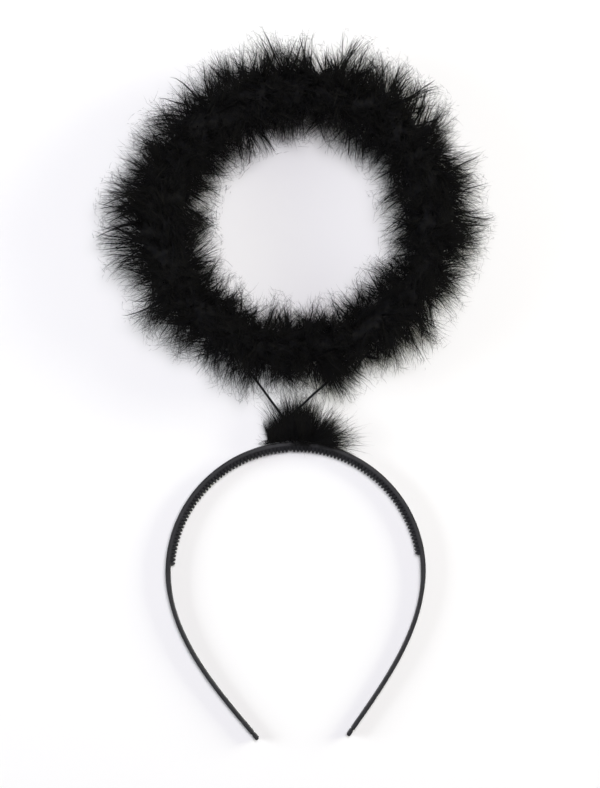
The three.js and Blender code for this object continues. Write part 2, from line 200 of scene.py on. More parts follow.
def make_lamp(name, place, watts, size, tint):
    lamp = bpy.data.objects.new(name, bpy.data.lights.new(name, "AREA"))
    lamp.data.size = size
    lamp.data.energy = watts
    lamp.data.color = tint
    bpy.context.scene.collection.objects.link(lamp)
    lamp.matrix_world = Matrix.Translation(place) @ turned_to_origin(np.array(place))


make_table()
make_sky()
for lamp in LAMPS:
    make_lamp(**lamp)
bpy.context.scene.view_settings.view_transform = "Standard"
print("lamps:", [lamp["name"] for lamp in LAMPS])

# %% [markdown]
# ## Finishes
# Three finishes cover the object: moulded plastic, wire in a thin coat, and dyed down. Plastic and wire both
# have a fine uneven skin, so that is one node group, placed in each with its own scale. It gives a mask
# for colour and roughness and a height for the bump. A picture of a worn skin could do the same, but noise
# needs no file and has no seam.

# %% A group for an uneven skin


def new_group(name, inputs, outputs):
    group = bpy.data.node_groups.new(name, "ShaderNodeTree")
    for label, default in inputs.items():
        socket = group.interface.new_socket(label, in_out="INPUT", socket_type="NodeSocketFloat")
        socket.default_value = default
    for label in outputs:
        group.interface.new_socket(label, in_out="OUTPUT", socket_type="NodeSocketFloat")
    return group, group.nodes.new("NodeGroupInput"), group.nodes.new("NodeGroupOutput")


def uneven_skin_group():
    """Coarse cloudy patches as a mask, and fine grain as a height, both from noise on Object coordinates."""
    group, entry, result = new_group(
        "uneven_skin", {"Patch Scale": 90.0, "Grain Scale": 2500.0}, ("Mask", "Height")
    )
    place = group.nodes.new("ShaderNodeTexCoord")
    for scale, output, detail in (("Patch Scale", "Mask", 4.0), ("Grain Scale", "Height", 2.0)):
        noise = group.nodes.new("ShaderNodeTexNoise")
        noise.inputs["Detail"].default_value = detail
        group.links.new(place.outputs["Object"], noise.inputs["Vector"])
        group.links.new(entry.outputs[scale], noise.inputs["Scale"])
        group.links.new(noise.outputs["Fac"], result.inputs[output])
    return group


uneven_skin = uneven_skin_group()
print("group:", uneven_skin.name)

# %% [markdown]
# The two hard finishes differ only in colour, gloss and grain, so one function makes both. The mask moves
# the colour between a dark and a light shade and the roughness between two values. The grain is a bump.

# %% Moulded plastic and coated wire
GRAIN_HEIGHT = 0.02 * MM


def ramp_between(tree, fac, low, high):
    """A colour that runs from low to high as fac goes from 0.3 to 0.7."""
    ramp = tree.nodes.new("ShaderNodeValToRGB")
    ramp.color_ramp.elements[0].position = 0.3
    ramp.color_ramp.elements[0].color = (*low, 1)
    ramp.color_ramp.elements[1].position = 0.7
    ramp.color_ramp.elements[1].color = (*high, 1)
    tree.links.new(fac, ramp.inputs["Fac"])
    return ramp.outputs["Color"]


def value_between(tree, fac, low, high):
    """A number that runs from low to high as fac goes from 0 to 1."""
    span = tree.nodes.new("ShaderNodeMapRange")
    span.inputs["To Min"].default_value = low
    span.inputs["To Max"].default_value = high
    tree.links.new(fac, span.inputs["Value"])
    return span.outputs["Result"]


def hard_finish(name, dark, light, gloss, scales, bump, mirror):
    """A finish with an uneven skin. gloss is the least and the most roughness, and scales are the scales of
    the patches and of the grain."""
    material = bpy.data.materials.new(name)
    material.use_nodes = True
    tree = material.node_tree
    shader = tree.nodes["Principled BSDF"]
    shader.inputs["Specular IOR Level"].default_value = mirror
    skin = tree.nodes.new("ShaderNodeGroup")
    skin.node_tree = uneven_skin
    skin.inputs["Patch Scale"].default_value = scales[0]
    skin.inputs["Grain Scale"].default_value = scales[1]
    tree.links.new(ramp_between(tree, skin.outputs["Mask"], dark, light), shader.inputs["Base Color"])
    tree.links.new(value_between(tree, skin.outputs["Mask"], *gloss), shader.inputs["Roughness"])
    grain = tree.nodes.new("ShaderNodeBump")
    grain.inputs["Strength"].default_value = bump
    grain.inputs["Distance"].default_value = GRAIN_HEIGHT
    tree.links.new(skin.outputs["Height"], grain.inputs["Height"])
    tree.links.new(grain.outputs["Normal"], shader.inputs["Normal"])
    return material


plastic = hard_finish(
    "moulded_plastic_black",
    dark=(0.017, 0.017, 0.019),
    light=(0.028, 0.028, 0.031),
    gloss=(0.4, 0.58),
    scales=(160, 2600),
    bump=0.5,
    mirror=0.14,
)
wire_coat = hard_finish(
    "wire_coat_black",
    dark=(0.006, 0.006, 0.008),
    light=(0.014, 0.014, 0.017),
    gloss=(0.3, 0.5),
    scales=(300, 4000),
    bump=0.4,
    mirror=0.4,
)
print("finishes:", plastic.name, wire_coat.name)

# %% [markdown]
# Down is dyed thread by thread, so no two threads are quite the same black. A thread is also a little
# browner and lighter where it thins to its tip: partly its dye, and partly painted light that shines
# through the thin tip. A pattern in space can't follow threads. Each thread carries a UV map instead: across
# the map lies the thread's own tint, and up the map lies the way from root to tip.

# %% Dyed down, with painted light at the tips
ROOT_TINTS = (0.0046, 0.0048, 0.0058), (0.0074, 0.0072, 0.0064)
# tips lighter and browner than the roots: partly dye, partly painted light through the thin tips
TIP_TINTS = (0.010, 0.010, 0.012), (0.0155, 0.0148, 0.0128)
DOWN_ROUGHNESS = (0.7, 0.95)


def down_finish():
    """Matt black whose tint goes by the map's X and whose way from root to tip goes by its Y. The tip end is
    lighter, partly as painted light through the thin tip.
    """
    material = bpy.data.materials.new("marabou_down_black")
    material.use_nodes = True
    tree = material.node_tree
    shader = tree.nodes["Principled BSDF"]
    uv = tree.nodes.new("ShaderNodeUVMap")
    uv.uv_map = UV_NAME
    parts = tree.nodes.new("ShaderNodeSeparateXYZ")
    tree.links.new(uv.outputs["UV"], parts.inputs["Vector"])
    root = ramp_between(tree, parts.outputs["X"], *ROOT_TINTS)
    tip = ramp_between(tree, parts.outputs["X"], *TIP_TINTS)
    blend = tree.nodes.new("ShaderNodeMix")
    blend.data_type = "RGBA"
    tree.links.new(parts.outputs["Y"], blend.inputs["Factor"])
    tree.links.new(root, blend.inputs["A"])
    tree.links.new(tip, blend.inputs["B"])
    tree.links.new(blend.outputs["Result"], shader.inputs["Base Color"])
    tree.links.new(value_between(tree, parts.outputs["Y"], *DOWN_ROUGHNESS), shader.inputs["Roughness"])
    shader.inputs["Specular IOR Level"].default_value = 0.08
    return material


down = down_finish()
print("finish:", down.name)

# %% [markdown]
# ## The headband
# The real band is one moulding, so it is drawn as one profile carried along one line. A bevelled curve could
# do that too, but here the profile changes along the way, so it is worked out ring by ring. The line is a
# quarter circle from the crown to each side, and then an arm that goes on turning in, but less and less. The
# profile is a rectangle with rounded corners that stands on the table and gets lower towards the tips.

# %% The line that the band follows
BAND_RADIUS = 65.2 * MM
BAND_WALL = 2.3 * MM
MIDDLE_RADIUS = BAND_RADIUS - BAND_WALL / 2
QUARTER = MIDDLE_RADIUS * np.pi / 2
ARM_LENGTH = 94.1 * MM
ARM_TURN = np.radians(37.6)
ARM_EASE = 2.33
ARM_SPARE = 2 * MM
ARM_STEPS = 2000
TIP_CENTRE = QUARTER + ARM_LENGTH


def arm_heading(length):
    """How far an arm has turned in: all of it, less a power of the share of the arm that is left."""
    left = np.clip(1 - length / ARM_LENGTH, 0, 1)
    return ARM_TURN * (1 - left**ARM_EASE)


def arm_line(length):
    """Points on the right arm from where it starts: the sum of many short steps along its heading."""
    steps = np.linspace(0, ARM_LENGTH + ARM_SPARE, ARM_STEPS)
    heading = arm_heading((steps[1:] + steps[:-1]) / 2)
    along = np.stack([-np.sin(heading), -np.cos(heading)], -1) * steps[1]
    place = np.concatenate([[[0, 0]], np.cumsum(along, axis=0)])
    return np.stack([np.interp(length, steps, place[:, axis]) for axis in (0, 1)], -1)


def band_line(run):
    """Points and outward normals on the band's middle line, by the length run from the crown.

    Round the half circle the normal turns by run / radius. Past it the arm adds its own heading and steps.
    """
    side = np.where(run < 0, -1.0, 1.0)
    length = np.abs(run)
    crown = np.minimum(length, QUARTER) / MIDDLE_RADIUS
    past = np.maximum(length - QUARTER, 0)
    turn = crown + arm_heading(past)
    circle = MIDDLE_RADIUS * np.stack([np.sin(crown), np.cos(crown) - 1], -1)
    place = circle + arm_line(past)
    normal = np.stack([np.sin(turn), np.cos(turn)], -1)
    mirror = np.stack([side, np.ones_like(side)], -1)
    return place * mirror, normal * mirror


tip_place, _ = band_line(np.array([TIP_CENTRE]))
print("right tip in mm:", (tip_place[0] / MM).round(1))

# %% [markdown]
# The arms are a little thinner than the half circle. Just above each tip the profile has a waist, a shallow
# groove all round, and the end is blunt with rounded corners. All three are done by the half thickness: an
# eased step for the arm, a raised cosine for the groove, a quarter circle for the corners.

# %% The band's moulding
CROWN_WIDTH = 8 * MM
TIP_WIDTH = 5.5 * MM
EDGE_ROUND = 0.5 * MM
EDGE_SHARE = 0.95
ARM_WALL = 1.85 * MM
THINNING = 15 * MM
WAIST_FROM_TIP = 3 * MM
WAIST_HALF = 0.75 * MM
WAIST_DEPTH = 0.3 * MM
TIP_ROUND = 0.7 * MM
CORNER_STEPS = 5
BAND_STEPS, WAIST_STEPS, END_STEPS = 380, 36, 8


def rounded_profile(half_thick, half_wide):
    """Corners of a rounded rectangle for each place: (places, points) of thickness and of width.

    Each corner is a quarter circle of the edge rounding round a point set in from both sides.
    """
    quarter = np.linspace(0, np.pi / 2, CORNER_STEPS)
    angle = np.concatenate([quarter + turn * np.pi / 2 for turn in range(4)])
    across = np.sign(np.cos(angle.reshape(4, -1).mean(1))).repeat(CORNER_STEPS)
    along = np.sign(np.sin(angle.reshape(4, -1).mean(1))).repeat(CORNER_STEPS)
    rounding = np.minimum(EDGE_ROUND, EDGE_SHARE * half_thick)[:, None]
    thick = across * (half_thick[:, None] - rounding) + rounding * np.cos(angle)
    wide = along * (half_wide[:, None] - rounding) + rounding * np.sin(angle)
    return thick, wide


def band_width(y):
    """The band's height above the table, from the crown to the tips."""
    share = np.clip(y / tip_place[0, 1], 0, 1)
    return CROWN_WIDTH + (TIP_WIDTH - CROWN_WIDTH) * share


def band_steps():
    """Lengths along the band: long steps in the middle, short ones from the waist to the end of each tip."""
    near_tip = TIP_CENTRE - WAIST_FROM_TIP - 2 * WAIST_HALF
    middle = np.linspace(-near_tip, near_tip, BAND_STEPS)
    groove = np.linspace(near_tip, TIP_CENTRE, WAIST_STEPS)[1:]
    end = TIP_CENTRE + TIP_ROUND * np.sin(np.linspace(0, np.pi / 2, END_STEPS))[1:]
    right = np.concatenate([groove, end])
    return np.concatenate([-right[::-1], middle, right])


def wall_at(length):
    """The band's thickness by the length run from the crown, eased from the half circle to the arm."""
    share = np.clip((length - QUARTER) / THINNING, 0, 1)
    return BAND_WALL + (ARM_WALL - BAND_WALL) * share * share * (3 - 2 * share)


def band_points():
    """Rings of the band: the middle line, plus the profile's thickness along the outward normal, with its
    width straight up from the table."""
    run = band_steps()
    length = np.abs(run)
    place, normal = band_line(run)
    groove = np.clip((length - TIP_CENTRE + WAIST_FROM_TIP) / WAIST_HALF, -1, 1)
    waist = WAIST_DEPTH * (1 + np.cos(np.pi * groove)) / 2
    into_end = np.clip((length - TIP_CENTRE) / TIP_ROUND, 0, 1)
    corner = TIP_ROUND * (1 - np.sqrt(1 - into_end**2))
    width = band_width(place[:, 1])
    half_thick = wall_at(length) / 2 - waist - corner
    half_wide = width / 2 - waist - corner
    thick, wide = rounded_profile(half_thick, half_wide)
    flat = place[:, None] + thick[..., None] * normal[:, None]
    upright = width[:, None] / 2 + wide
    return np.concatenate([flat, upright[..., None]], -1)


band_rings = band_points()
print("band rings:", band_rings.shape)

# %% [markdown]
# ## The comb
# The teeth stand on a low web inside the band. From above, each tooth is a wedge that narrows to a blunt
# crest, and the grooves between the teeth run up to the band. That is a height: the web, plus a tooth wave
# round the arc, both a little lower towards the ends. The section at each angle is as deep as that height.
# Copies of one tooth would do as well, but the wave gives web and teeth in one closed surface.

# %% Teeth as a wave round the arc
TEETH_PER_SIDE = 47
TOOTH_PITCH = np.radians(1.783)
WEB_HEIGHT = 1.75 * MM
TOOTH_HEIGHT = 1.2 * MM
MIDDLE_TOOTH = 0.6
END_FALL = 0.27
TOOTH_CREST = 0.26
TOOTH_FOOT = 0.95
COMB_ROOT = 7.3 * MM
COMB_CREST = 4.6 * MM
GROOVE_NARROW = 0.7
COMB_SUNK = 0.9 * MM
STEPS_PER_TOOTH = 12
# share of the depth at each corner of the section, from below over the crest, where -1 is sunk in the band
COMB_SECTION = np.array([-1, 0, 0.35, 0.7, 0.92, 1, 1, 0.92, 0.7, 0.35, 0, -1])
CREST_FROM = 0.92
CREST_EASE = 0.72
CREST_TOP_EASE = 0.55


def tooth_wave(turn):
    """1 on a crest, 0 between two teeth, with straight flanks eased at both ends."""
    place = np.abs((turn / TOOTH_PITCH + 0.5) % 1 - 0.5) * 2
    flank = np.clip((TOOTH_FOOT - place) / (TOOTH_FOOT - TOOTH_CREST), 0, 1)
    return flank * flank * (3 - 2 * flank)


def comb_points():
    """Rings of the comb: at each angle the radius is that of the band's inside less the depth, and the width
    goes from the root's to the crest's as the depth grows, narrower in the grooves."""
    reach = (TEETH_PER_SIDE + 0.5) * TOOTH_PITCH
    turn = np.linspace(-reach, reach, (2 * TEETH_PER_SIDE + 1) * STEPS_PER_TOOTH + 1)
    wave = tooth_wave(turn)
    middle = np.abs(turn) < TOOTH_PITCH / 2
    deep = WEB_HEIGHT + TOOTH_HEIGHT * np.where(middle, MIDDLE_TOOTH, 1.0) * wave
    deep = deep * (1 - END_FALL * (turn / reach) ** 4)
    side = np.repeat([-1, 1], len(COMB_SECTION) // 2)
    depth = np.where(COMB_SECTION < 0, -COMB_SUNK, COMB_SECTION * deep[:, None])
    narrow = COMB_ROOT + (COMB_CREST - COMB_ROOT) * np.clip(depth / (WEB_HEIGHT + TOOTH_HEIGHT), 0, 1)
    ease = np.where(COMB_SECTION >= CREST_FROM, CREST_EASE, 1.0)
    ease = ease * np.where(COMB_SECTION >= 1, CREST_TOP_EASE, 1.0)
    ridge = GROOVE_NARROW + (1 - GROOVE_NARROW) * wave[:, None]
    upright = CROWN_WIDTH / 2 + side * narrow / 2 * ease * ridge
    radius = BAND_RADIUS - BAND_WALL - depth
    x = radius * np.sin(turn)[:, None]
    y = radius * np.cos(turn)[:, None] - MIDDLE_RADIUS
    upright = upright * band_width(y) / CROWN_WIDTH
    return np.stack([x, y, upright], -1)


comb_rings = comb_points()
print("comb rings:", comb_rings.shape)

# %% [markdown]
# Each row of rings becomes a closed skin, with triangles between one ring and the next and a cap at both
# ends. The comb starts inside the wall of the band. The two skins could be cut and welded where they
# cross, but nobody can see that line, so they only go into one mesh, because the real thing is one moulding.

# %% Band and comb as one piece


def joined(*parts):
    """Several (points, faces) as one."""
    starts = np.cumsum([0] + [len(points) for points, _ in parts[:-1]])
    points = np.concatenate([points for points, _ in parts])
    faces = np.concatenate([faces + start for (_, faces), start in zip(parts, starts)])
    return points, faces


def grid_faces(rows, columns):
    """Triangles of a grid whose columns close on themselves, with a cap at both ends.

    The caps' middle points come after the grid's own points.
    """
    i, j = np.meshgrid(np.arange(rows - 1), np.arange(columns), indexing="ij")
    k = (j + 1) % columns
    sides = np.stack([i * columns + j, i * columns + k, (i + 1) * columns + k, (i + 1) * columns + j], -1)
    ring = np.arange(columns)
    following = (ring + 1) % columns
    last = (rows - 1) * columns
    first_cap = np.stack([following, ring, np.full(columns, rows * columns)], -1)
    last_cap = np.stack([last + ring, last + following, np.full(columns, rows * columns + 1)], -1)
    quads = sides.reshape(-1, 4)
    return np.concatenate([quads[:, [0, 1, 2]], quads[:, [0, 2, 3]], first_cap, last_cap])


def with_cap_points(rings):
    """Points of a carried profile, with the middle of its first and last ring added."""
    ends = np.stack([rings[0].mean(0), rings[-1].mean(0)])
    return np.concatenate([rings.reshape(-1, 3), ends])


def carried(rings):
    """A carried profile as (points, faces)."""
    return with_cap_points(rings), grid_faces(*rings.shape[:2])


headband_points, headband_faces = joined(carried(band_rings), carried(comb_rings))
headband = add_piece(
    "headband_moulding", headband_points, headband_faces, plastic, "headband", sharp=38
)

# %% [markdown]
# ## The wire
# One wire makes the feet, the stem, the two legs and the ring. It is a circle carried along a smooth curve
# through a few chosen points. Blender's own curves could carry it, but this one has to run exactly where the
# solid does. It is a Catmull-Rom spline whose knots lie as far apart as the square root of the distance,
# which keeps it from swinging out where a long stretch meets a short one.

# %% The wire's route
WIRE_RADIUS = 0.6 * MM
GAP = 0.3 * MM
HALO_CENTRE = np.array([8.1, 110.9, 20.0]) * MM
HALO_RADII = np.array([66.8, 63.8]) * MM
RING_FROM, RING_TO, RING_POINTS = 232, -52, 25
FOOT_TURNS = np.radians([9, 4.5])
FOOT_BEND = 3 * MM
STRAND_GAP = 0.7 * MM
STEM_LEAN = -1.2 * MM
STEM_TOP = 11.6 * MM
WIRE_STEPS = 8
LEFT_LEG = np.array([[-10.6, 25.2, 11.2], [-19.2, 38.3, 16.8]]) * MM
RIGHT_LEG = np.array([[9.6, 21.8, 9.6], [22.7, 32.4, 14.88], [33.6, 41.2, 18.4]]) * MM


def ring_point(angle):
    """Points on the halo's ring, an ellipse in a level plane, by the angle in radians."""
    flat = HALO_CENTRE[:2] + HALO_RADII * np.stack([np.cos(angle), np.sin(angle)], -1)
    return np.concatenate([flat, np.full((*flat.shape[:-1], 1), HALO_CENTRE[2])], -1)


def foot_and_stem(side):
    """From the end of one foot, along the crown, round the bend and up one strand."""
    level = CROWN_WIDTH / 2
    face = BAND_RADIUS + GAP + WIRE_RADIUS
    strand = side * (WIRE_RADIUS + STRAND_GAP / 2)
    floor = face - MIDDLE_RADIUS
    bend = FOOT_BEND * (1 - np.sqrt(0.5))
    share = np.array([0, 0.5, 1])
    foot = np.stack([side * face * np.sin(FOOT_TURNS), face * np.cos(FOOT_TURNS) - MIDDLE_RADIUS], -1)
    corner = np.array([[strand + side * bend, floor + bend]])
    rise = floor + FOOT_BEND + (STEM_TOP - floor - FOOT_BEND) * share
    flat = np.concatenate([foot, corner, np.stack([strand + STEM_LEAN * share, rise], -1)])
    return np.concatenate([flat, np.full((len(flat), 1), level)], -1)


def wire_route():
    """The whole route: up the left strand and leg, round the ring, and down the right leg and strand."""
    ring = ring_point(np.radians(np.linspace(RING_FROM, RING_TO, RING_POINTS)))
    return np.concatenate([foot_and_stem(-1), LEFT_LEG, ring, RIGHT_LEG[::-1], foot_and_stem(1)[::-1]])


def smooth_curve(points, steps):
    """A centripetal Catmull-Rom curve: between two points, a cubic blend of both points and their slopes."""
    before = 2 * points[0] - points[1]
    after = 2 * points[-1] - points[-2]
    p = np.concatenate([[before], points, [after]])
    knot = np.sqrt(np.linalg.norm(np.diff(p, axis=0), axis=1))[:, None]
    slope = np.diff(p, axis=0) / knot
    bridge = (p[2:] - p[:-2]) / (knot[1:] + knot[:-1])
    tangent = slope[:-1] - bridge + slope[1:]
    span = knot[1:-1]
    start, end = points[:-1], points[1:]
    leave, arrive = tangent[:-1] * span, tangent[1:] * span
    t = np.linspace(0, 1, steps, endpoint=False)[:, None, None]
    curve = (2 * t**3 - 3 * t**2 + 1) * start + (t**3 - 2 * t**2 + t) * leave
    curve = curve + (3 * t**2 - 2 * t**3) * end + (t**3 - t**2) * arrive
    return np.concatenate([curve.transpose(1, 0, 2).reshape(-1, 3), points[-1:]])


wire_line = smooth_curve(wire_route(), WIRE_STEPS)
print("wire length in mm:", round(np.linalg.norm(np.diff(wire_line, axis=0), axis=1).sum() / MM, 1))

# %% [markdown]
# The wire is never upright, so the level direction beside it always exists. It and the direction square to
# it carry the circle. The cut ends of the feet are closed with a cap.

# %% The wire as a tube
WIRE_SIDES = 14


def unit(vectors):
    return vectors / np.linalg.norm(vectors, axis=-1, keepdims=True)


def tube_rings(line, radius, sides):
    """A circle at every point of a line, in the plane square to the line."""
    ahead = unit(np.gradient(line, axis=0))
    side = unit(np.cross(ahead, (0, 0, 1)))
    up = np.cross(ahead, side)
    angle = np.linspace(0, 2 * np.pi, sides, endpoint=False)[:, None]
    return line[:, None] + radius * (np.cos(angle) * side[:, None] + np.sin(angle) * up[:, None])


wire_points, wire_faces = carried(tube_rings(wire_line, WIRE_RADIUS, WIRE_SIDES))
wire = add_piece("halo_wire_coated", wire_points, wire_faces, wire_coat, "halo_wire", sharp=50)

# %% [markdown]
# ## Threads of down
# Marabou has no stiff vane: each plume is a soft bundle of long threads. Hair particles would not survive as
# a mesh, so every thread is a three-sided needle: a ring of three corners round each point of its path
# and one corner at the tip. All the needles of a piece are made in one go.

# %% Needles from paths
MAP_COLUMNS = 64
COLUMN_MARGIN = 0.1
ROW_MARGIN = 0.01
NOT_ALONG = 0.01


def needle_faces(points):
    """Triangles of one needle with that many points on its path, and their corners on the UV map."""
    rings = points - 1
    tip = 3 * rings
    faces, across, along = [[0, 2, 1]], [[0, 2 / 3, 1 / 3]], [[0, 0, 0]]
    for ring in range(rings):
        for corner in range(3):
            here, beside = 3 * ring + corner, 3 * ring + (corner + 1) % 3
            left, right, low, high = corner / 3, (corner + 1) / 3, ring / rings, (ring + 1) / rings
            if ring == rings - 1:
                faces.append([here, beside, tip])
                across.append([left, right, (left + right) / 2])
                along.append([low, low, high])
                continue
            faces.extend([[here, beside, beside + 3], [here, beside + 3, here + 3]])
            across.extend([[left, right, right], [left, right, left]])
            along.extend([[low, low, high], [low, high, high]])
    return np.array(faces), np.array(across), np.array(along)


def needles(paths, radius, tint):
    """Needles along paths (n, k, 3) with a radius (n, k - 1) at each ring and a tint (n) from 0 to 1."""
    count, k = paths.shape[:2]
    ahead = unit(np.gradient(paths, axis=1))
    # aside is any direction that isn't along the needle
    aside = unit(paths[:, -1:] - paths[:, :1])[:, :, [1, 2, 0]] + NOT_ALONG
    side = unit(np.cross(ahead, aside))
    up = np.cross(ahead, side)
    angle = np.radians([0, 120, 240])[:, None]
    round_path = np.cos(angle) * side[:, :-1, None] + np.sin(angle) * up[:, :-1, None]
    rings = paths[:, :-1, None] + radius[:, :, None, None] * round_path
    points = np.concatenate([rings.reshape(count, -1, 3), paths[:, -1:]], 1)
    faces, across, along = needle_faces(k)
    starts = (np.arange(count) * points.shape[1])[:, None, None]
    column = COLUMN_MARGIN + (1 - 2 * COLUMN_MARGIN) * across
    u = (np.floor(tint * MAP_COLUMNS)[:, None, None] + column) / MAP_COLUMNS
    v = ROW_MARGIN + (1 - 2 * ROW_MARGIN) * along
    uv = np.stack([u, np.broadcast_to(v, u.shape)], -1)
    return points.reshape(-1, 3), (faces + starts).reshape(-1, 3), uv.reshape(-1, 2)


print("triangles in a needle of four points:", len(needle_faces(4)[0]))

# %% [markdown]
# Threads hold together in locks. A lock has a root, a way, a length and a bend. Its threads start a little
# apart, wander a little, and each stops at its own length, so that a lock ends in a wisp. Short fuzz leaves
# it sideways all along, as the finest down does, and makes the edge soft.

# %% Locks of threads
THREAD_WANDER = 0.25
THREAD_BEGIN = 0.25
THREAD_BEND = 0.17
FUZZ_BEND = 0.3
FARTHEST = 2.2


def scattered(rng, count, spread):
    """Random vectors with a normal spread, where none lies farther out than a few times the spread."""
    return rng.normal(size=(*np.atleast_1d(count), 3)).clip(-FARTHEST, FARTHEST) * spread


def lock_paths(rng, lock, layer):
    """Paths (locks * threads, points, 3): a straight run from the root along the way, plus the bend times the
    square of the share run, plus an offset that goes from the root spread to the tip spread."""
    locks, threads, points = len(lock["root"]), layer["threads"], layer["points"]
    share = np.linspace(0, 1, points)[:, None]
    reach = rng.uniform(*layer["share"], (locks, threads, 1, 1))
    begin = rng.uniform(0.0, THREAD_BEGIN, (locks, threads, 1, 1))
    run = begin + (reach - begin) * share
    straight = (lock["way"] * lock["length"][:, None])[:, None, None] * run
    own_bend = scattered(rng, (locks, threads), THREAD_BEND)
    bend = lock["bend"][:, None] + own_bend * lock["length"][:, None, None]
    at_root = scattered(rng, (locks, threads), layer["spread"][0] * MM)[:, :, None]
    at_tip = scattered(rng, (locks, threads), layer["spread"][1] * MM)[:, :, None]
    wander = scattered(rng, (locks, threads, points), THREAD_WANDER * MM)
    paths = lock["root"][:, None, None] + straight + bend[:, :, None] * run**2
    return (paths + at_root * (1 - share) + at_tip * share + wander).reshape(-1, points, 3)


def fuzz_paths(rng, lock, fuzz):
    """Short paths that start somewhere on a lock and leave it sideways, half along its way."""
    locks, threads, points = len(lock["root"]), fuzz["threads"], fuzz["points"]
    share = np.linspace(0, 1, points)[:, None]
    place = rng.uniform(*fuzz["share"], (locks, threads, 1))
    start = (lock["way"] * lock["length"][:, None])[:, None] * place + lock["bend"][:, None] * place**2
    start = lock["root"][:, None] + start + scattered(rng, (locks, threads), fuzz["spread"] * MM)
    way = unit(lock["way"][:, None] + scattered(rng, (locks, threads), fuzz["stray"]))
    length = rng.uniform(*fuzz["length"], (locks, threads, 1)) * MM
    bend = scattered(rng, (locks, threads), FUZZ_BEND) * length
    paths = start[:, :, None] + (way * length)[:, :, None] * share + bend[:, :, None] * share**2
    return paths.reshape(-1, points, 3)


def above_table(paths, lowest):
    """Paths pressed flat where they would go through the table."""
    paths[..., 2] = np.maximum(paths[..., 2], lowest)
    return paths


def tapered(paths, radius):
    """The radius at each ring of the needles along paths, from the root's towards the tip's."""
    rings = paths.shape[1] - 1
    return np.broadcast_to(np.linspace(*radius, rings + 1)[:-1] * MM, (len(paths), rings))


print("threads wander by about", THREAD_WANDER, "mm")

# %% [markdown]
# ## The halo's down
# The down stands out from the wire all the way round its section, further in some places than in others.
# The table below gives the reach to the inside and to the outside of the ring every 15 degrees. Between
# its values the reach is a straight line, and round the section it is a blend of the level and upright reach.
# A few waves round the ring make the outline lumpy, as plumes wound in a spiral do. With one even reach the
# halo would look like a bottle brush.

# %% Reach of the halo's down
REACH_STEP = 15
HALO_REACH = {
    # reach in mm, from the right-hand side round through the top
    "inward": [29, 21, 21.5, 16.5, 19.5, 17.5, 24.5, 30, 29, 26, 24.5, 24]
    + [24, 20, 25, 19, 15.5, 20, 22.5, 12.5, 17, 19.5, 12, 12.5],
    "outward": [26, 21, 20, 29.5, 18.5, 24.5, 21.5, 22, 18, 21.5, 19, 26]
    + [24, 27, 23, 20, 19.5, 18, 18, 12, 15, 25.5, 18, 19],
}
UP_REACH = 17 * MM
LUMP_WAVES = np.array([9, 14, 19, 27])
LUMP_HEIGHT = 0.03


def lumps(turn, section):
    """Waves round the ring that also turn with the section, so that they wind round the boa."""
    waves = LUMP_WAVES * turn[:, None] + (LUMP_WAVES % 3 - 1) * section[:, None] + LUMP_WAVES**2
    return 1 + LUMP_HEIGHT * np.sin(waves).sum(1)


def halo_reach(turn, section):
    """Reach from the wire by the angle round the ring and round the section, where 0 is outwards."""
    rows = np.arange(0, 360, REACH_STEP)
    inward = np.interp(np.degrees(turn), rows, HALO_REACH["inward"], period=360) * MM
    outward = np.interp(np.degrees(turn), rows, HALO_REACH["outward"], period=360) * MM
    level = np.where(np.cos(section) > 0, outward, inward)
    even = level * np.cos(section) ** 2 + UP_REACH * np.sin(section) ** 2
    return even * lumps(turn, section)


print("mean reach in mm:", round(halo_reach(np.linspace(0, 2 * np.pi, 60), np.zeros(60)).mean() / MM, 1))

# %% [markdown]
# Close to the wire the down is too dense for any light to pass. Threads could fill that space too, but most
# of them would never be seen. The underdown is one closed shaggy ring instead, less than half as thick as
# the reach, and the threads hide it. It takes the down's darkest tints, those of the roots, as painted shade
# for the depth of the down, which a smooth ring doesn't cast on itself.

# %% Underdown
UNDERDOWN_GRID = (300, 24)
UNDERDOWN_SHARE = 0.42
UNDERDOWN_ROUGH = (0.8, 1.12)
UNDERDOWN_SEED = 90
GOLDEN_SHARE = 0.618
MAP_CELL = 0.01


def ring_axes(turn):
    """Directions out from the middle of the ring and along it, by the angle round it."""
    level = np.zeros_like(turn)
    out = np.stack([np.cos(turn), np.sin(turn), level], -1)
    along = np.stack([-np.sin(turn), np.cos(turn), level], -1)
    return out, along


def spoke(turn, section):
    """The direction away from the wire at an angle round the section."""
    return np.cos(section)[:, None] * ring_axes(turn)[0] + np.sin(section)[:, None] * np.array([0, 0, 1])


def closed_grid(rows, columns):
    """Four-sided faces of a grid that closes on itself both ways."""
    i, j = np.meshgrid(np.arange(rows), np.arange(columns), indexing="ij")
    after, beside = (i + 1) % rows, (j + 1) % columns
    corners = [i * columns + j, after * columns + j, after * columns + beside, i * columns + beside]
    return np.stack(corners, -1).reshape(-1, 4)


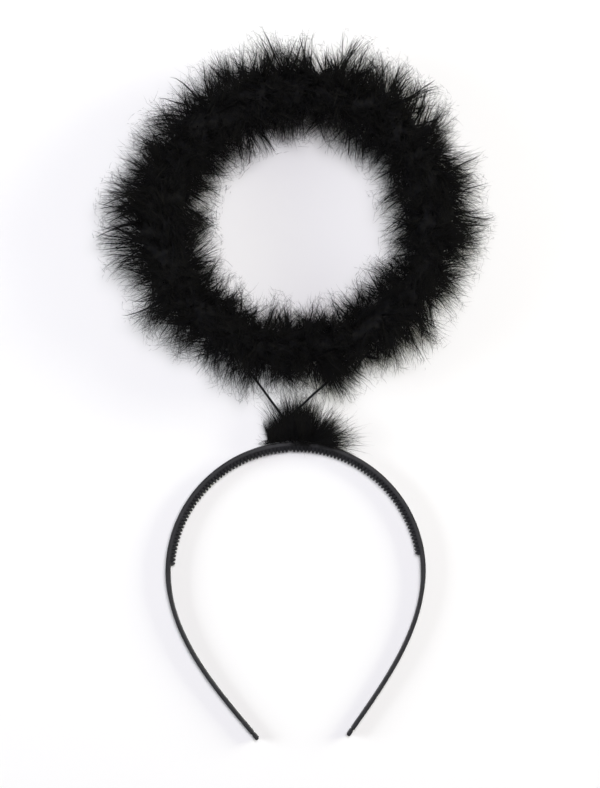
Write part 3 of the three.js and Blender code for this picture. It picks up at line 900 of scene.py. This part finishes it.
def add_underdown():
    """The ring's points, each set out along its spoke by a share of the reach that differs from point to
    point. On the map every face has a small cell of its own tint, near the root where the tints are darkest:
    painted shade for the deep down."""
    rows, columns = UNDERDOWN_GRID
    turn = np.repeat(2 * np.pi * np.arange(rows) / rows, columns)
    section = np.tile(2 * np.pi * np.arange(columns) / columns, rows)
    rough = np.random.default_rng(UNDERDOWN_SEED).uniform(*UNDERDOWN_ROUGH, len(turn))
    away = UNDERDOWN_SHARE * rough * halo_reach(turn, section)
    points = ring_point(turn) + away[:, None] * spoke(turn, section)
    faces = closed_grid(rows, columns)
    tint = np.repeat((np.arange(len(faces)) * GOLDEN_SHARE) % 1, 4)
    corner = np.tile([[0, 0], [1, 0], [1, 1], [0, 1]], (len(faces), 1)) * MAP_CELL
    # v near the root, where the tints are darkest: painted shade for the depth of the down
    uv = corner + np.stack([(1 - 2 * MAP_CELL) * tint, np.full(len(tint), MAP_CELL)], -1)
    return add_piece("halo_underdown", points, faces, down, "halo_marabou", uv=uv)


add_underdown()

# %% [markdown]
# Over it lie plumes. A plume is a handful of locks that share one lean, one bend and one length, so that
# neighbouring threads flow the same way. Each lock is built up in layers, from one thick core that stops
# short to many thin threads that reach far. The halo is made in five arcs, because a mesh that is too large
# is slow to handle.

# %% Plumes of the halo
HALO_ARCS = 5
HALO_SEED = 100
PLUMES_PER_ARC = 130
LOCKS_PER_PLUME = 5
LOCK_APART = 2.5 * MM
LOCK_STRAY = 0.28
LOCK_LENGTHS = (0.75, 1.06)
LOCK_SHORTEST = 3 * MM
PLUME_ROOT = 5 * MM
PLUME_JITTER = 0.8
SECTION_JITTER = 0.2
CROWD_OUTSIDE, CROWD_FLAT = 0.16, 0.12
PLUME_LEAN, PLUME_STRAY, PLUME_BEND = 0.65, 0.15, 0.2
PLUME_STRETCH = (1.33, 0.14)
OUTER_STRETCH = 0.08
REACH_KEPT = 24 * MM
INNER_LIMIT = 31 * MM
OUTER_LIMIT = 36 * MM
UP_SHARE = 0.87
GOLDEN_ANGLE = np.pi * (3 - np.sqrt(5))
TABLE_GAP = 0.2 * MM
LAYERS = [
    # threads in a lock, points on each, share of the lock's length, radius at root and tip, spread, in mm
    {"threads": 1, "points": 5, "share": (0.6, 0.9), "radius": (0.55, 0.06), "spread": (0.4, 0.4)},
    {"threads": 4, "points": 4, "share": (0.65, 1.0), "radius": (0.16, 0.04), "spread": (1.3, 1.4)},
    {"threads": 5, "points": 4, "share": (0.75, 1.15), "radius": (0.08, 0.03), "spread": (1.5, 1.8)},
]
FUZZ = {
    "threads": 8,
    "points": 3,
    "share": (0.2, 1.0),
    "radius": (0.06, 0.03),
    "spread": 1.0,
    "stray": 0.7,
    "length": (3, 8),
}


def halo_plumes(rng, first):
    """The plumes of one arc, dealt out evenly: the angle round the ring goes up in equal steps, and the angle
    round the section turns by the golden angle each time. Two waves crowd them a little to the outside and
    the inside, where the ring is laid flat."""
    number = first + np.arange(PLUMES_PER_ARC)
    place = number + rng.uniform(-PLUME_JITTER, PLUME_JITTER, len(number))
    turn = 2 * np.pi * place / (HALO_ARCS * PLUMES_PER_ARC)
    section = number * GOLDEN_ANGLE + rng.normal(0, SECTION_JITTER, len(number))
    section = section - CROWD_OUTSIDE * np.sin(section) - CROWD_FLAT * np.sin(2 * section)
    away = spoke(turn, section)
    lean = rng.normal(0, PLUME_LEAN, len(number))[:, None] * ring_axes(turn)[1]
    way = unit(away + lean + scattered(rng, len(number), PLUME_STRAY))
    stretch = rng.normal(*PLUME_STRETCH, len(number)) + OUTER_STRETCH * np.cos(section)
    length = halo_reach(turn, section) * stretch - PLUME_ROOT
    bend = scattered(rng, len(number), PLUME_BEND) * length[:, None]
    root = ring_point(turn) + PLUME_ROOT * away
    return {"root": root, "way": way, "length": length, "bend": bend}


def split_into_locks(rng, plume, locks, apart=LOCK_APART, stray=LOCK_STRAY):
    """Each plume several times over, each time a little beside itself and turned a little."""
    lock = {name: np.repeat(values, locks, axis=0) for name, values in plume.items()}
    count = len(lock["length"])
    lock["root"] = lock["root"] + scattered(rng, count, apart)
    lock["way"] = unit(lock["way"] + scattered(rng, count, stray))
    lock["length"] = np.maximum(lock["length"] * rng.uniform(*LOCK_LENGTHS, count), LOCK_SHORTEST)
    return lock


def drawn_in(paths):
    """Halo paths whose far ends are drawn in: past the kept reach the distance from the wire at the root
    grows ever more slowly, towards the limit. The limit is nearer inside the ring, and upwards a little
    nearer."""
    flat = (paths[..., :2] - HALO_CENTRE[:2]) / HALO_RADII
    foot = ring_point(np.arctan2(flat[:, :1, 1], flat[:, :1, 0]))
    away = (paths - foot) / np.array([1, 1, UP_SHARE])
    far = np.linalg.norm(away, axis=-1, keepdims=True)
    inside = np.linalg.norm(flat, axis=-1, keepdims=True) < 1
    room = np.where(inside, INNER_LIMIT, OUTER_LIMIT) - REACH_KEPT
    short = REACH_KEPT + room * (1 - np.exp(-np.maximum(far - REACH_KEPT, 0) / room))
    return foot + (paths - foot) * np.where(far > REACH_KEPT, short / far, 1)


def layered_down(rng, locks, layers, fuzz, fitted):
    """Every layer of every lock and its fuzz as one (points, faces) and its UV map, with its paths fitted."""
    routes = [(lock_paths(rng, locks, layer), layer["radius"]) for layer in layers]
    routes.append((fuzz_paths(rng, locks, fuzz), fuzz["radius"]))
    meshes = []
    for paths, radius in routes:
        paths = fitted(paths)
        meshes.append(needles(paths, tapered(paths, radius), rng.random(len(paths))))
    points, faces = joined(*[mesh[:2] for mesh in meshes])
    return points, faces, np.concatenate([mesh[2] for mesh in meshes])


def halo_fitted(paths):
    """Halo paths within their limits and above the table."""
    return above_table(drawn_in(paths), TABLE_GAP)


def add_halo_arc(index):
    rng = np.random.default_rng(HALO_SEED + index)
    locks = split_into_locks(rng, halo_plumes(rng, index * PLUMES_PER_ARC), LOCKS_PER_PLUME)
    points, faces, uv = layered_down(rng, locks, LAYERS, FUZZ, halo_fitted)
    return add_piece(f"halo_down_{index + 1}", points, faces, down, "halo_marabou", uv=uv)


for arc in range(HALO_ARCS):
    add_halo_arc(arc)

# %% [markdown]
# One plume has slipped out of the winding. It hangs from the lower right of the ring across one leg of the
# wire, almost down to the tuft. Chance would not put a plume there, so it has values of its own.

# %% The plume that hangs down
HANGING_TURNS = np.radians([277, 279, 281])
HANGING_WAYS = np.radians([-84, -72, -56])
HANGING_LENGTHS = np.array([21, 23, 21]) * MM
HANGING_LOCKS = 16
HANGING_RISE = 0.15
HANGING_BEND = 0.1
HANGING_APART = 1.8 * MM
HANGING_STRAY = 0.16
HANGING_SEED = 150


def add_hanging_plume():
    rng = np.random.default_rng(HANGING_SEED)
    rise = np.full(len(HANGING_WAYS), HANGING_RISE)
    plume = {
        "root": ring_point(HANGING_TURNS) + PLUME_ROOT * spoke(HANGING_TURNS, rise),
        "way": unit(np.stack([np.cos(HANGING_WAYS), np.sin(HANGING_WAYS), rise], -1)),
        "length": HANGING_LENGTHS,
        "bend": scattered(rng, len(HANGING_WAYS), HANGING_BEND) * HANGING_LENGTHS[:, None],
    }
    locks = split_into_locks(rng, plume, HANGING_LOCKS, apart=HANGING_APART, stray=HANGING_STRAY)
    points, faces, uv = layered_down(rng, locks, LAYERS, FUZZ, halo_fitted)
    return add_piece("halo_down_hanging", points, faces, down, "halo_marabou", uv=uv)


add_hanging_plume()

# %% [markdown]
# ## The tuft at the crown
# The tuft hides the glued feet of the wire. It is a dense block, lower on the left than in the middle, and it
# flops a little over the edge of the band. To the right it fans out thin and curly. It isn't wound on
# anything, so its locks don't follow a formula. Each row of a table is one bunch of locks: how many, where
# they root along the crown and how high, which way they point and how far they go.

# %% Tuft locks
TUFT_BLOCK = [
    # root is x from and to, level is z from and to, and length is from and to, all in mm
    # way is from and to in degrees, and stray is how far a lock may turn from it
    {"locks": 95, "root": (-10, -2), "level": (2.5, 9.5), "way": (95, 88), "stray": 5, "length": (9, 11.5)},
    {"locks": 112, "root": (-2, 10.5), "level": (2.5, 9.5), "way": (94, 84), "stray": 8, "length": (13, 23)},
    {"locks": 12, "root": (-4, 11), "level": (4, 9.5), "way": (106, 76), "stray": 10, "length": (20, 28)},
    {"locks": 3, "root": (-10.5, -10), "level": (4, 8), "way": (195, 160), "stray": 8, "length": (3, 5)},
    {"locks": 14, "root": (0, 12), "level": (8.9, 9.6), "way": (285, 255), "stray": 8, "length": (1.2, 2)},
]
TUFT_FAN = [
    {"locks": 52, "root": (9, 15), "level": (2.5, 9.5), "way": (62, -12), "stray": 20, "length": (10, 23)},
    {"locks": 6, "root": (10, 15), "level": (3, 9.5), "way": (58, -10), "stray": 14, "length": (20, 25)},
    {"locks": 18, "root": (8, 13), "level": (4, 9.5), "way": (84, 48), "stray": 12, "length": (16, 24)},
]
TUFT_LOWEST = 1.2 * MM
TUFT_ROOT_GAP = 0.4 * MM
TUFT_RISE = (0.1, 0.3)
TUFT_BEND = 0.012
TUFT_SEED = 200
BLOCK_LAYERS = [
    {"threads": 1, "points": 5, "share": (0.5, 0.8), "radius": (0.5, 0.05), "spread": (0.3, 0.4)},
    {"threads": 5, "points": 4, "share": (0.65, 1.0), "radius": (0.13, 0.04), "spread": (0.9, 0.9)},
    {"threads": 5, "points": 4, "share": (0.8, 1.15), "radius": (0.06, 0.03), "spread": (1.0, 1.3)},
]
FAN_LAYERS = [
    {"threads": 1, "points": 5, "share": (0.5, 0.9), "radius": (0.22, 0.05), "spread": (0.3, 0.6)},
    {"threads": 5, "points": 4, "share": (0.5, 1.0), "radius": (0.1, 0.04), "spread": (0.9, 1.4)},
    {"threads": 7, "points": 4, "share": (0.5, 1.1), "radius": (0.07, 0.03), "spread": (1.2, 2.4)},
]
BLOCK_FUZZ = FUZZ | {"threads": 6, "stray": 0.45, "length": (2, 5)}
FAN_FUZZ = FUZZ | {"threads": 9, "share": (0.15, 0.8), "stray": 0.9, "length": (3, 7)}


def bunch_locks(rng, bunch):
    """Locks that root on the outside of the crown and point along the table, some up and some down."""
    count = bunch["locks"]
    share = rng.random(count)
    x = (bunch["root"][0] + (bunch["root"][1] - bunch["root"][0]) * share) * MM
    y = np.sqrt((BAND_RADIUS + TUFT_ROOT_GAP) ** 2 - x**2) - MIDDLE_RADIUS
    z = rng.uniform(*bunch["level"], count) * MM
    angle = bunch["way"][0] + (bunch["way"][1] - bunch["way"][0]) * share
    angle = np.radians(angle + rng.normal(0, bunch["stray"], count))
    way = unit(np.stack([np.cos(angle), np.sin(angle), rng.normal(*TUFT_RISE, count)], -1))
    length = rng.uniform(*bunch["length"], count) * MM
    bend = scattered(rng, count, TUFT_BEND * bunch["stray"]) * length[:, None]
    return {"root": np.stack([x, y, z], -1), "way": way, "length": length, "bend": bend}


def outside_band(paths):
    """Paths pushed out to the outside of the crown where they would go through the band."""
    middle = np.array([0, -MIDDLE_RADIUS])
    flat = paths[..., :2] - middle
    far = np.linalg.norm(flat, axis=-1, keepdims=True)
    pushed = middle + flat * np.maximum(1, (BAND_RADIUS + GAP) / far)
    beside = paths[..., 2:] < CROWN_WIDTH + GAP
    paths[..., :2] = np.where(beside, pushed, paths[..., :2])
    return paths


def tuft_fitted(paths):
    """Tuft paths above the table and outside the band."""
    return outside_band(above_table(paths, TUFT_LOWEST))


def tuft_part(rng, bunches, layers, fuzz):
    """All the bunches of one table as threads, with one set of layers and fuzz."""
    rows = [bunch_locks(rng, bunch) for bunch in bunches]
    locks = {name: np.concatenate([row[name] for row in rows]) for name in rows[0]}
    return layered_down(rng, locks, layers, fuzz, tuft_fitted)


def add_tuft():
    rng = np.random.default_rng(TUFT_SEED)
    block = tuft_part(rng, TUFT_BLOCK, BLOCK_LAYERS, BLOCK_FUZZ)
    fan = tuft_part(rng, TUFT_FAN, FAN_LAYERS, FAN_FUZZ)
    points, faces = joined(block[:2], fan[:2])
    uv = np.concatenate([block[2], fan[2]])
    return add_piece("base_tuft_down", points, faces, down, "base_tuft", uv=uv)


add_tuft()
